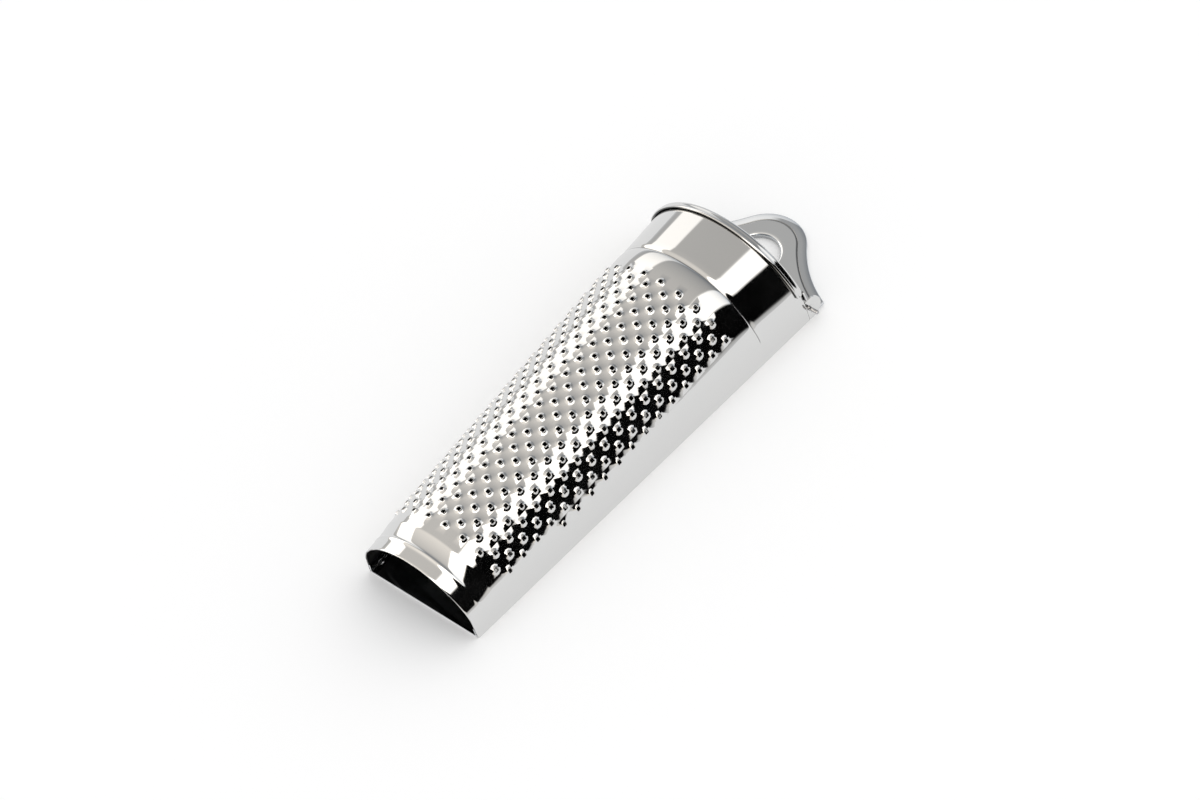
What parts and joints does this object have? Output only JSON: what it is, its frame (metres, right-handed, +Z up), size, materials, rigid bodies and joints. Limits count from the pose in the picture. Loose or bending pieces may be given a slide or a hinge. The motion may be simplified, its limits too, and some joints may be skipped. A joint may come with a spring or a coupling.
{
  "type": "nutmeg_grater",
  "caption": "Half-round nutmeg grater of bright plated sheet steel: tapered perforated body, storage compartment under a hinged end lid, and a hanging ear.",
  "frame": {"origin": "centre of the back plate's outer face, halfway between the mouth edge and 120 mm from it", "axes": "+X along the body from the open mouth towards the lid and the hanging ear, +Y across, +Z up from the flat back to the crown"},
  "size_m": [0.1394, 0.0534, 0.0254],
  "materials": {
    "shell_chrome": "polished",
    "plate_chrome": "polished",
    "inner_chrome": "polished",
    "lid_chrome": "polished",
    "pin_steel": "drawn wire"
  },
  "bodies": {
    "body": {"grater_shell": "shell_chrome", "back_plate": "plate_chrome", "compartment_floor": "inner_chrome", "hinge_pin": "pin_steel"},
    "lid": {"lid": "lid_chrome"}
  },
  "joints": [
    {"name": "lid_hinge", "type": "hinge", "parent": "body", "child": "lid", "pos_m": [0.0583, 0, 0.0028], "axis": [0, 1, 0], "range_deg": [0, 92]}
  ]
}
